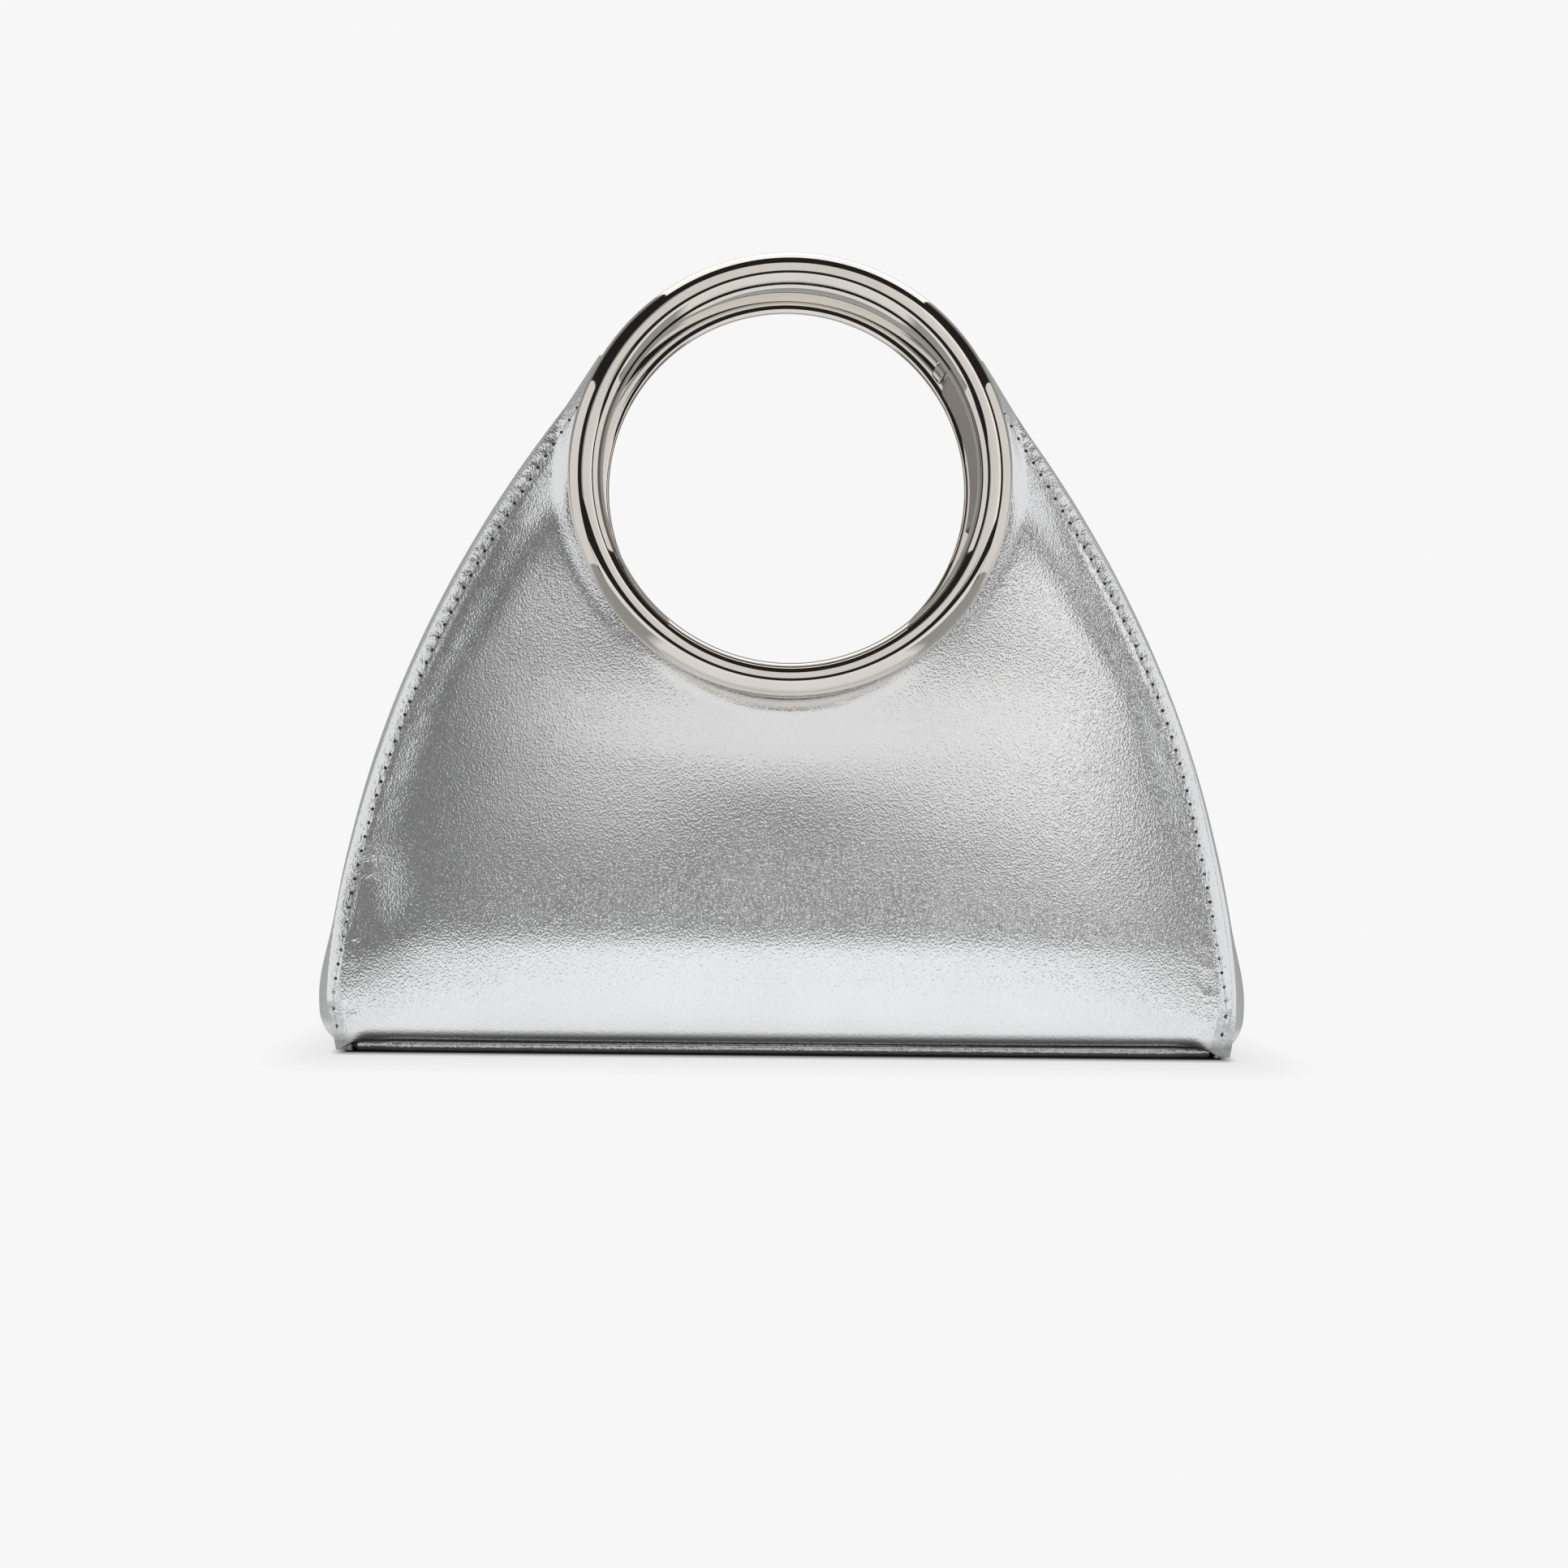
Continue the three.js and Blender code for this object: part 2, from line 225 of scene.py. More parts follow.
def section(column, z):
    """Smooth curve through a column of the section rows."""
    levels, values = SECTIONS["z"], SECTIONS[column]
    slopes = np.diff(values) / np.diff(levels)
    tangents = np.concatenate([slopes[:1], (slopes[1:] + slopes[:-1]) / 2, slopes[-1:]])
    z = np.clip(z, levels[0], levels[-1])
    i = np.clip(np.searchsorted(levels, z, side="right") - 1, 0, len(levels) - 2)
    gap = levels[i + 1] - levels[i]
    t = (z - levels[i]) / gap
    start = (1 + 2 * t) * (1 - t) ** 2 * values[i] + t * (1 - t) ** 2 * gap * tangents[i]
    end = t**2 * (3 - 2 * t) * values[i + 1] - t**2 * (1 - t) * gap * tangents[i + 1]
    return start + end


def edge_slope(z):
    """Change of the half width for each millimetre up."""
    step = 0.5
    return (section("half_width", z + step) - section("half_width", z - step)) / (2 * step)


ARC_LEVELS = np.linspace(0, HORN_TOP, ARC_POINTS)
ARC_LENGTHS = np.concatenate(
    [[0], np.cumsum(np.hypot(np.diff(ARC_LEVELS), np.diff(section("half_width", ARC_LEVELS))))]
)


def seam_arc(z):
    """Length along the stitched edge up to a level."""
    return np.interp(z, ARC_LEVELS, ARC_LENGTHS)


def past_tuck(x, z):
    """Share from 0 at the hole for the ring to 1 where the leather no longer tucks in behind it."""
    return smooth_step((np.hypot(x, z - RING_Z) - HOLE_RADIUS) / TUCK_REACH)


def panel_depth(x, z):
    """Depth of a panel's outer face from the middle plane, as in the model but for the roll's ends."""
    root = section("half_width", z) - FLANGE
    crown = 1 - np.minimum(1, np.abs(x) / root) ** BELLY_POWER
    set_back = FLANGE_SET_BACK * np.clip((np.abs(x) - root) / FLANGE, 0, 1)
    rise = np.clip(z - PANEL_FOOT + FOOT_SLANT, 0, FOOT_ROLL)
    rolled_in = FOOT_ROLL - np.sqrt(FOOT_ROLL**2 - (FOOT_ROLL - rise) ** 2)
    roll_share = between(root - np.abs(x), ROLL_START, ROLL_FULL)
    is_open = section("seam", z) + section("belly", z) * crown - rolled_in * roll_share - set_back
    return TUCK_DEPTH + (is_open - TUCK_DEPTH) * past_tuck(x, z)


def stitch_inset(z):
    """Distance of the needle holes from the edge, smaller near the foot."""
    share = between(z, STITCH_LOW_LEVEL, STITCH_HIGH_LEVEL)
    return STITCH_INSET_LOW + (STITCH_INSET_HIGH - STITCH_INSET_LOW) * share


def from_edge(x, z):
    """Distance of a place on a panel from its stitched edge."""
    return (section("half_width", z) - np.abs(x)) / np.hypot(1, edge_slope(z))


def fall_depth(z):
    """How far the stitched edge lies below the leather beside it at a level."""
    wide = between(z, FALL_WIDE_LEVEL, FALL_FULL_LEVEL)
    depth = FALL_DEPTH + (FALL_DEPTH_HIGH - FALL_DEPTH) * wide
    return depth * between(z, FALL_LOW_LEVEL, FALL_HIGH_LEVEL)


def edge_fall(x, z):
    """Fall of the leather towards the stitched edge."""
    past_crease = np.maximum(from_edge(x, z) - stitch_inset(z) - CREASE_BEHIND, 0)
    wide = between(z, FALL_WIDE_LEVEL, FALL_FULL_LEVEL)
    reach = FALL_REACH + (FALL_REACH_HIGH - FALL_REACH) * wide
    return -fall_depth(z) * bump(past_crease, 0, reach)


def seam_relief(x, z):
    """Rounded edge, puffs between the stitches, crease and small puckers."""
    inset = from_edge(x, z)
    row = stitch_inset(z)
    turn = 2 * math.pi * seam_arc(z) / STITCH_PITCH
    at_hole = 0.5 + 0.5 * np.cos(turn)
    quick, slow = (turns * turn for turns in WANDER_TURNS)
    quick_offset, slow_offset = WANDER_OFFSETS
    wander = np.sin(quick + quick_offset * np.sign(x)) * np.sin(slow + slow_offset)
    edge = -EDGE_ROUND * np.clip(1 - inset / EDGE_ROUND_REACH, 0, 1) ** 2
    beside_hole = PUFF_LEVEL - at_hole + PUFF_WANDER * wander
    puffs = PUFF_HEIGHT * bump(inset, PUFF_PLACE * row, PUFF_WIDTH * row) * beside_hole
    pinched = -PUFF_HEIGHT * bump(inset, row, PINCH_WIDTH) * at_hole**3
    crease = -CREASE_DEPTH * bump(inset, row + CREASE_BEHIND, CREASE_WIDTH)
    wave = np.sin(PUCKER_TURNS * turn + PUCKER_WANDER * wander)
    puckers = PUCKER_HEIGHT * bump(inset, PUCKER_INSET, PUCKER_WIDTH) * wave * (0.5 + wander)
    return edge + puffs + pinched + crease + puckers


def fold_relief(x, z):
    """Soft folds of the front panel."""
    relief = np.zeros_like(x)
    for row in FRONT_FOLDS:
        fold = dict(zip(FOLD_COLUMNS, row))
        relief += fold["height"] * bump(x, fold["x"], fold["across"]) * bump(z, fold["z"], fold["up"])
    return relief


def folded_depth(x, z, side):
    """Depth of a panel's outer face with its soft folds and the fall to its stitched edge."""
    folds = fold_relief(x, z) if side == FRONT else 0
    return panel_depth(x, z) + (folds + edge_fall(x, z)) * past_tuck(x, z)


def dressed_depth(x, z, side):
    """Depth of a panel's outer face with its folds and seams."""
    return folded_depth(x, z, side) + seam_relief(x, z) * past_tuck(x, z)


def settled(x, depth, z, side):
    """Points of a panel at a depth, with the foot moved aside and the lower corners drooping."""
    aside = FRONT_SHIFT * (1 - between(z, SHIFT_LOW_LEVEL, SHIFT_HIGH_LEVEL)) if side == FRONT else 0
    lower = 1 - between(z, PANEL_FOOT, CORNER_HEIGHT)
    corner = between(np.abs(x), CORNER_START, CORNER_END) ** 2 * lower
    across = x + aside - np.sign(x) * CORNER_PINCH * corner
    return np.stack([across, side * depth, z - CORNER_DROOP * corner], axis=-1)


def on_panel(x, z, side, lift=0.0):
    """Points on a panel's outer face, moved out by a lift."""
    return settled(x, dressed_depth(x, z, side) + lift, z, side)


def normals_of(x, z, side):
    """Outward directions of a panel's plain outer face."""
    step = 0.4
    slope_x = (panel_depth(x + step, z) - panel_depth(x - step, z)) / (2 * step)
    slope_z = (panel_depth(x, z + step) - panel_depth(x, z - step)) / (2 * step)
    normals = np.stack([-slope_x, np.full_like(x, side), -slope_z], axis=-1)
    return normals / np.linalg.norm(normals, axis=-1, keepdims=True)


# Meshes
def add_piece(name, points, faces, materials, finish, replaced=None, face_slots=None):
    """Makes a smooth mesh piece that rides on the bag and hides the node of the model it replaces, if
    any.
    """
    mesh = bpy.data.meshes.new(name)
    mesh.from_pydata((np.asarray(points) * MM).tolist(), [], faces)
    for material in materials:
        mesh.materials.append(material)
    if face_slots is not None:
        mesh.polygons.foreach_set("material_index", np.asarray(face_slots, np.int32))
    shell = bmesh.new()
    shell.from_mesh(mesh)
    bmesh.ops.recalc_face_normals(shell, faces=shell.faces)
    shell.to_mesh(mesh)
    shell.free()
    mesh.shade_smooth()
    mesh.set_sharp_from_angle(angle=math.radians(SHARP_ANGLE))
    piece = bpy.data.objects.new(name, mesh)
    bpy.context.scene.collection.objects.link(piece)
    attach(piece, "root")
    if replaced:
        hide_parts(replaced)
    return piece


def quads(numbers):
    """Faces between neighbouring rows and columns of a grid of point numbers."""
    corners = (numbers[:-1, :-1], numbers[:-1, 1:], numbers[1:, 1:], numbers[1:, :-1])
    return np.stack(corners, axis=-1).reshape(-1, 4).tolist()


def closed_tube(grid):
    """Points and faces of a tube whose loops are the rows of a grid, closed at both ends."""
    numbers = np.arange(grid.shape[0] * grid.shape[1]).reshape(grid.shape[:2])
    faces = quads(np.concatenate([numbers, numbers[:, :1]], axis=1))
    faces += [numbers[0].tolist(), numbers[-1].tolist()]
    return grid.reshape(-1, 3), faces


def joined(parts):
    """One set of points and faces from several."""
    points, faces, count = [], [], 0
    for part_points, part_faces in parts:
        points.append(part_points)
        faces += [[number + count for number in face] for face in part_faces]
        count += len(part_points)
    return np.concatenate(points), faces


def solid_between(outer, inner):
    """Points, faces and face slots (0 outer, 1 inner, 2 edge) of a wall between two grids."""
    rows, columns = outer.shape[:2]
    points = np.concatenate([outer.reshape(-1, 3), inner.reshape(-1, 3)])
    out = np.arange(rows * columns).reshape(rows, columns)
    back = out + rows * columns
    rim = [(out[0], back[0]), (out[-1], back[-1]), (out[:, 0], back[:, 0]), (out[:, -1], back[:, -1])]
    faces, slots = [], []
    for slot, part in [(0, out), (1, back[::-1])] + [(2, np.stack(pair)) for pair in rim]:
        made = quads(part)
        faces += made
        slots += [slot] * len(made)
    return points, faces, slots


def panel_edge():
    """Edge of a panel from the right horn, along the foot, to the left horn, with the way inwards."""
    z = np.linspace(HORN_TOP, PANEL_FOOT, SEAM_STEPS + 1)
    half = section("half_width", z)
    slope = edge_slope(z)
    up = np.clip(1 - (z - PANEL_FOOT) / MITRE_REACH, 0, 1)
    right = np.stack([half, z], axis=-1)
    right_way = np.stack([-np.ones_like(z), slope], axis=-1) / np.hypot(1, slope)[:, None]
    right_way[:, 1] += up
    foot_x = np.linspace(half[-1], -half[-1], FOOT_STEPS + 1)[1:-1]
    foot = np.stack([foot_x, np.full_like(foot_x, PANEL_FOOT)], axis=-1)
    aside = np.clip(1 - (half[-1] - np.abs(foot_x)) / MITRE_REACH, 0, 1)
    foot_way = np.stack([-np.sign(foot_x) * aside, np.ones_like(foot_x)], axis=-1)
    mirror = np.array([-1, 1])
    edge = np.concatenate([right, foot, right[::-1] * mirror])
    way = np.concatenate([right_way, foot_way, right_way[::-1] * mirror])
    return edge, way


def panel_grid():
    """Places on a panel, seen from the front: columns run from the edge to the ring."""
    edge, way = panel_edge()
    centre = np.array([0, RING_Z])
    ray = edge - centre
    length = np.linalg.norm(ray, axis=1, keepdims=True)
    room = EDGE_ROWS[-1] + RING_ROWS[0]
    scale = np.minimum(1, (length - HOLE_RADIUS) * (1 - MIDDLE_SHARE) / room)
    outer = [edge + way * distance * scale for distance in EDGE_ROWS]
    inner = [centre + ray / length * (HOLE_RADIUS + distance * scale) for distance in RING_ROWS]
    shares = np.linspace(0, 1, MIDDLE_ROWS + 2)[1:-1]
    middle = [outer[-1] + (inner[0] - outer[-1]) * share for share in shares]
    return np.stack(outer + middle + inner)


def add_share(piece, name, outer):
    """Stores a share with the points of a wall's outer face, 0 on its inner face."""
    share = piece.data.attributes.new(name, "FLOAT", "POINT")
    share.data.foreach_set("value", np.concatenate([outer.ravel(), np.zeros(outer.size)]))


def add_panel(name, side, materials, replaced):
    places = panel_grid()
    x, z = places[..., 0], places[..., 1]
    outer = on_panel(x, z, side)
    inner = settled(x, folded_depth(x, z, side), z, side) - normals_of(x, z, side) * PANEL_WALL
    points, faces, slots = solid_between(outer, inner)
    piece = add_piece(name, points, faces, materials, "silver_leather", replaced, slots)
    add_share(piece, "crinkled", bump(from_edge(x, z), CRINKLE_INSET, CRINKLE_WIDTH))
    add_share(piece, "stretched", bump(x, 0, STRETCH_ACROSS) * bump(z, STRETCH_Z, STRETCH_UP))


def softened(line):
    """Line whose inner points are drawn towards their neighbours twice."""
    for _ in range(2):
        line[1:-1] = (line[:-2] + 2 * line[1:-1] + line[2:]) / 4
    return line


def wall_line(z, sign):
    """Middle line of a side wall at one level: flange, swollen wall, flange."""
    half = section("half_width", z)
    fall = fall_depth(z) * past_tuck(half, z)
    flange_depth = section("seam", z) - fall - PANEL_WALL - SEAM_GAP - GUSSET_WALL / 2
    along = np.linspace(-1, 1, WALL_STEPS + 1)
    wall = np.stack([half - FLANGE + section("swell", z) * (1 - along**2), along * flange_depth], axis=-1)
    out = np.linspace(half, half - FLANGE, FLANGE_STEPS + 1)[:-1]
    set_back = FLANGE_SET_BACK * (out - out[-1]) / (out[0] - out[-1])
    front = np.stack([out, set_back - flange_depth], axis=-1)
    line = np.concatenate([front, wall, front[::-1] * (1, -1)])
    return softened(line) * (sign, 1)


def offset_line(line, distance):
    """Line moved sideways by a distance."""
    way = np.gradient(line, axis=0)
    way /= np.linalg.norm(way, axis=1, keepdims=True)
    return line + np.stack([way[:, 1], -way[:, 0]], axis=-1) * distance


def add_gusset(name, sign, materials, replaced):
    foot_levels = np.linspace(0, WALL_FOOT_TOP, WALL_FOOT_LEVELS)[:-1]
    levels = np.concatenate([foot_levels, np.linspace(WALL_FOOT_TOP, HORN_TOP, WALL_LEVELS)])
    grids = []
    for distance in (sign * GUSSET_WALL / 2, -sign * GUSSET_WALL / 2):
        lines = [offset_line(wall_line(z, sign), distance) for z in levels]
        grids.append(np.stack([np.insert(line, 2, z, axis=1) for line, z in zip(lines, levels)]))
    points, faces, slots = solid_between(*grids)
    rows, columns = len(levels) - 1, grids[0].shape[1] - 1
    lined = np.ones((rows, columns), int)
    lined[:, :FLANGE_STEPS] = lined[:, -FLANGE_STEPS:] = 0
    slots[rows * columns : 2 * rows * columns] = lined.ravel().tolist()
    add_piece(name, points, faces, materials, "silver_leather", replaced, slots)


def base_outline():
    """Outline of the base: the foot of both panels and the inside of the side walls."""
    reach = SECTIONS["half_width"][0] - FLANGE - GUSSET_WALL - CLEARANCE
    x = np.linspace(-reach, reach, BASE_POINTS)
    recess = BASE_RECESS * between(np.abs(x), BASE_RECESS_START, CORNER_START)
    foot = np.stack([x, recess - panel_depth(0.0, PANEL_FOOT)], axis=-1)
    right = offset_line(wall_line(0.0, 1), -(GUSSET_WALL / 2 + CLEARANCE))
    inside = np.abs(right[:, 1]) < section("seam", 0.0) - PANEL_WALL - GUSSET_WALL - CLEARANCE - SEAM_GAP
    slack = 0.2
    right = right[inside & (right[:, 0] > reach - slack)]
    return np.concatenate([foot, right, foot[::-1] * (1, -1), right[::-1] * (-1, 1)])


def add_base(name, material, replaced):
    outline = base_outline()
    way = np.roll(outline, -1, axis=0) - np.roll(outline, 1, axis=0)
    way /= np.linalg.norm(way, axis=1, keepdims=True)
    inward = np.stack([-way[:, 1], way[:, 0]], axis=-1)
    turn = np.linspace(0, math.pi / 2, BASE_ROUND_POINTS)
    low = [(BASE_ROUND * (1 - math.sin(t)), BASE_ROUND * (1 - math.cos(t))) for t in turn]
    profile = low + [(inset, BASE_WALL - z) for inset, z in low[::-1]]
    loops = [np.insert(outline + inward * inset, 2, z, axis=1) for inset, z in profile]
    add_piece(name, *closed_tube(np.stack(loops)), [material], "silver_leather", replaced)


def around_ring(radius, degrees):
    angle = np.radians(degrees)
    return np.stack([radius * np.cos(angle), RING_Z + radius * np.sin(angle)], axis=-1)


def bead_profile(side):
    """Profile of a ring as (radius, y): a round bead outwards and a shallow dome behind it."""
    outward = np.linspace(0, math.pi, BEAD_STEPS + 1)
    behind = np.linspace(math.pi, 2 * math.pi, BEAD_STEPS // 2 + 1)[1:-1]
    angle = np.concatenate([outward, behind])
    reach = np.where(np.sin(angle) > 0, BEAD_RADIUS, BACK_DOME)
    radius = RING_RADIUS + BEAD_RADIUS * np.cos(angle)
    return np.stack([radius, side * (RING_PLANE + reach * np.sin(angle))], axis=-1)


def lathe(profile, degrees):
    """Grid of points: the profile turned about the ring's axis at each angle."""
    angle = np.radians(degrees)[:, None]
    radius, y = profile[:, 0], np.broadcast_to(profile[:, 1], (len(degrees), len(profile)))
    return np.stack([radius * np.cos(angle), y, RING_Z + radius * np.sin(angle)], axis=-1)


def closed_ring(profile):
    degrees = np.arange(RING_STEPS) * 360 / RING_STEPS
    grid = lathe(profile, degrees)
    numbers = np.arange(grid.shape[0] * grid.shape[1]).reshape(grid.shape[:2])
    numbers = np.concatenate([numbers, numbers[:1]])
    return grid.reshape(-1, 3), quads(np.concatenate([numbers, numbers[:, :1]], axis=1))


def collar_profile():
    """Closed profile of the collar, from inside the front ring's bead to the rear end."""
    front, rear = -RING_PLANE - BACK_DOME, TUCK_DEPTH
    low, high = COLLAR_RADIUS, COLLAR_RADIUS + COLLAR_WALL
    turn = np.linspace(0, math.pi / 2, COLLAR_ROUND_POINTS)
    r = COLLAR_ROUND
    inner_end = [(low + r - r * math.cos(t), rear - r + r * math.sin(t)) for t in turn]
    outer_end = [(high - r + r * math.sin(t), rear - r + r * math.cos(t)) for t in turn]
    lengths = np.linspace(front, rear - 2 * r, COLLAR_DEPTHS)
    inner = [(low, y) for y in lengths]
    outer = [(high, y) for y in lengths[::-1]]
    return np.array(inner + inner_end + outer_end + outer)


def add_rings(material):
    rear = closed_ring(bead_profile(BACK))
    add_piece("rear_ring_polished", *rear, [material], "polished_metal", "rear_ring")
    collar = lathe(collar_profile(), np.linspace(COLLAR_RIGHT_ANGLE, COLLAR_LEFT_ANGLE, COLLAR_ANGLES))
    front = joined([closed_ring(bead_profile(FRONT)), closed_tube(collar)])
    add_piece("front_ring_polished", *front, [material], "polished_metal", "front_ring")


def strip(line, wall, depths):
    """Wall that follows a line seen from the front and runs through the given depths."""
    grids = []
    for distance in (wall / 2, -wall / 2):
        moved = offset_line(line, distance)
        grids.append(np.stack([np.insert(moved, 1, y, axis=1) for y in depths], axis=1))
    return solid_between(*grids)


def add_facing(name, sign, inner_radius, material, replaced):
    angles = np.linspace(FACING_FOOT_ANGLE, FACING_TOP_ANGLE, FACING_ANGLES)
    arc = around_ring(inner_radius + FACING_WALL / 2, angles)
    lap_height = HORN_TOP + CLEARANCE + FACING_WALL / 2
    turn = np.array([[FACING_LAP_START, lap_height], [FACING_LAP_END, lap_height]])
    corner = np.concatenate([arc[-1:], turn])
    lengths = np.concatenate([[0], np.cumsum(np.linalg.norm(np.diff(corner, axis=0), axis=1))])
    spread = np.linspace(0, lengths[-1], FACING_LAP_POINTS)[1:]
    rest = np.stack([np.interp(spread, lengths, corner[:, k]) for k in (0, 1)], axis=-1)
    line = softened(np.concatenate([arc, rest]) * (sign, 1))
    depths = np.linspace(-TUCK_DEPTH, TUCK_DEPTH, FACING_DEPTHS)
    points, faces, _ = strip(line, FACING_WALL, depths)
    add_piece(name, points, faces, [material], "taupe_lining", replaced)


def add_catch(name, material, replaced):
    end_gap = math.degrees(CLEARANCE / CATCH_RADIUS)
    angles = np.linspace(CATCH_FOOT_ANGLE, COLLAR_RIGHT_ANGLE - end_gap, CATCH_ANGLES)
    line = around_ring(CATCH_RADIUS + CATCH_WALL / 2, angles)
    points, faces, _ = strip(line, CATCH_WALL, np.linspace(CATCH_FRONT, CATCH_REAR, CATCH_DEPTHS))
    piece = add_piece(name, points, faces, [material], "polished_metal", replaced)
    block = bmesh.new()
    block.from_mesh(piece.data)
    sharp = math.radians(CATCH_SHARP_ANGLE)
    corners = [edge for edge in block.edges if edge.calc_face_angle(0) > sharp]
    size, steps = CATCH_ROUND * MM, CATCH_ROUND_STEPS
    bmesh.ops.bevel(block, geom=corners, offset=size, segments=steps, affect="EDGES", profile=0.5)
    block.to_mesh(piece.data)
    block.free()
    piece.data.shade_smooth()


# Stitches
def stitch_places(sign):
    """Places of the needle holes along one edge, seen from the front."""
    last = seam_arc(HORN_TOP) / STITCH_PITCH - STITCHES_OFF_TOP
    arcs = np.arange(STITCHES_OFF_FOOT, last) * STITCH_PITCH
    z = np.interp(arcs, ARC_LENGTHS, ARC_LEVELS)
    slope = edge_slope(z)
    steep = np.hypot(1, slope)
    inset = stitch_inset(z)
    x = section("half_width", z) - inset / steep
    return np.stack([sign * x, z + inset * slope / steep], axis=-1)


def tube(path, radius):
    """Closed tube along a path, thinner at both ends."""
    way = np.gradient(path, axis=0)
    way /= np.linalg.norm(way, axis=1, keepdims=True)
    across = np.cross(way, (0, 1, 0))
    across /= np.linalg.norm(across, axis=1, keepdims=True)
    over = np.cross(across, way)
    angle = np.linspace(0, 2 * math.pi, THREAD_SIDES, endpoint=False)
    share = np.linspace(-1, 1, len(path))
    girth = radius * np.sqrt(1 - THREAD_TAPER * share**TAPER_POWER)[:, None, None]
    ring = across[:, None] * np.cos(angle)[None, :, None] + over[:, None] * np.sin(angle)[None, :, None]
    return closed_tube(path[:, None] + ring * girth)


def stitch_tubes(side, sign):
    places = stitch_places(sign)
    share = np.linspace(0, 1, THREAD_POINTS)
    lift = THREAD_RADIUS * (THREAD_ARCH * np.sin(math.pi * share) - THREAD_SINK)
    parts = []
    for start, end in zip(places[:-1], places[1:]):
        line = start + (end - start) * (STITCH_START + STITCH_SPAN * share[:, None])
        parts.append(tube(on_panel(line[:, 0], line[:, 1], side, lift), THREAD_RADIUS))
    return parts


def needle_hole(place, side):
    """Dimple with a raised lip where the thread goes into the leather, made dark with a painted shadow.
    """
    shares = np.array(HOLE_PROFILE)
    radii = shares[:, 0] * HOLE_SIZE
    lifts = shares[:, 1] * HOLE_LIFT + HOLE_LIFT
    angle = np.linspace(0, 2 * math.pi, HOLE_SIDES, endpoint=False)
    x = place[0] + radii[1:, None] * np.cos(angle)
    z = place[1] + radii[1:, None] * np.sin(angle)
    rings = on_panel(x, z, side, lifts[1:, None])
    centre = on_panel(place[:1], place[1:], side, lifts[:1])
    numbers = np.arange(rings.shape[0] * rings.shape[1]).reshape(rings.shape[:2]) + 1
    closed = np.concatenate([numbers, numbers[:, :1]], axis=1)
    faces = quads(closed) + [[0, a, b] for a, b in zip(closed[0, :-1].tolist(), closed[0, 1:].tolist())]
    return np.concatenate([centre, rings.reshape(-1, 3)]), faces


def add_stitches(thread, dark):
    seams = [(side, sign) for side in (FRONT, BACK) for sign in (-1, 1)]
    tubes = [part for seam in seams for part in stitch_tubes(*seam)]
    holes = [needle_hole(place, side) for side, sign in seams for place in stitch_places(sign)]
    add_piece("seam_thread", *joined(tubes), [thread], "silver_leather")
    add_piece("needle_holes", *joined(holes), [dark], "silver_leather")


